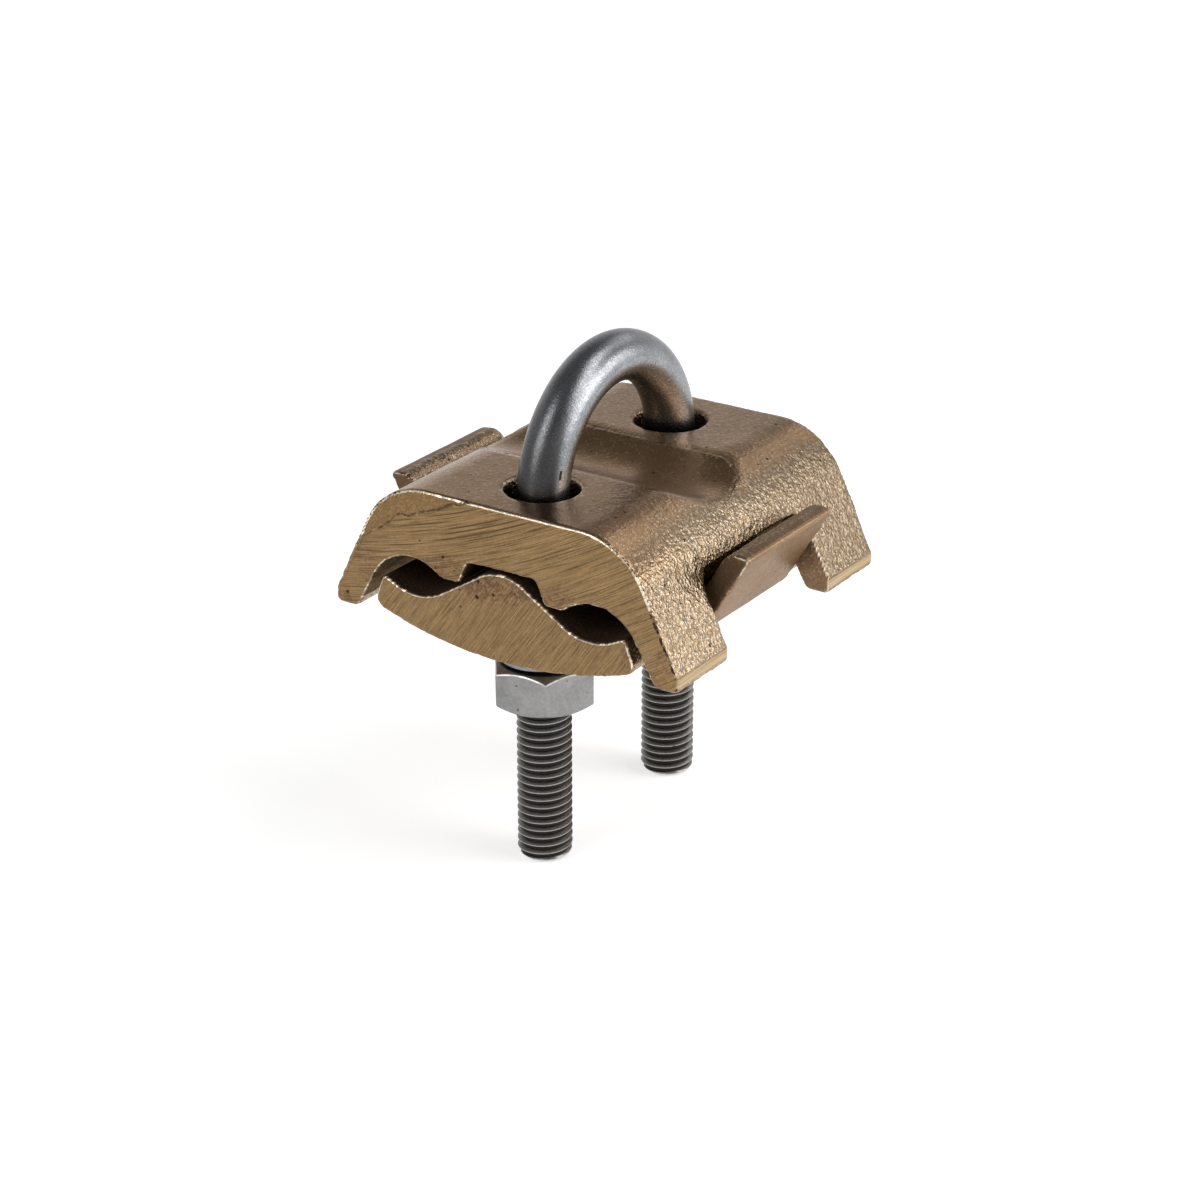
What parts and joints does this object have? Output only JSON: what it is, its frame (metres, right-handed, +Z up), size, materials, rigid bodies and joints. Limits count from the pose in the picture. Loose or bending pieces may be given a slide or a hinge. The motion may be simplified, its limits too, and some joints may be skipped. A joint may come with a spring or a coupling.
{
  "type": "ground rod clamp",
  "caption": "U-bolt ground rod clamp: the bow holds a rod on a scooped seat while the nuts draw a humped lower saddle up to grip cables in side grooves.",
  "frame": {"origin": "middle of the lowest line of the rod seat on top of the upper saddle", "axes": "+Z up out of the seat towards the bow, X along the ground rod, Y along the cables, -Y towards the front face in the picture"},
  "size_m": [0.0744, 0.0662, 0.0919],
  "materials": {
    "cast_bronze": "sand cast, ends ground",
    "plain_steel": "satin grey",
    "zinc_plate": "bright zinc"
  },
  "bodies": {
    "u_bolt": {"u_bolt": "plain_steel"},
    "upper_saddle": {"upper_saddle": "cast_bronze"},
    "lower_saddle": {"lower_saddle": "cast_bronze", "front_washer": "zinc_plate", "rear_washer": "zinc_plate"},
    "front_nut": {"front_nut": "zinc_plate"},
    "rear_nut": {"rear_nut": "zinc_plate"}
  },
  "joints": [
    {"name": "upper_saddle_slide", "type": "slide", "parent": "u_bolt", "child": "upper_saddle", "axis": [0, 0, 1], "range_m": [0, 0.004]},
    {"name": "jaw_slide", "type": "slide", "parent": "u_bolt", "child": "lower_saddle", "axis": [0, 0, -1], "range_m": [0, 0.022]},
    {"name": "front_nut_turn", "type": "hinge", "parent": "lower_saddle", "child": "front_nut", "pos_m": [0, -0.02035, -0.03285], "axis": [0, 0, -1], "range_deg": [0, 5280]},
    {"name": "rear_nut_turn", "type": "hinge", "parent": "lower_saddle", "child": "rear_nut", "pos_m": [0, 0.02035, -0.03285], "axis": [0, 0, -1], "range_deg": [0, 5280]}
  ],
  "couplings": [
    {"joint": "front_nut_turn", "follows": "jaw_slide", "rad_per_m": 4188.8},
    {"joint": "rear_nut_turn", "follows": "jaw_slide", "rad_per_m": 4188.8}
  ]
}
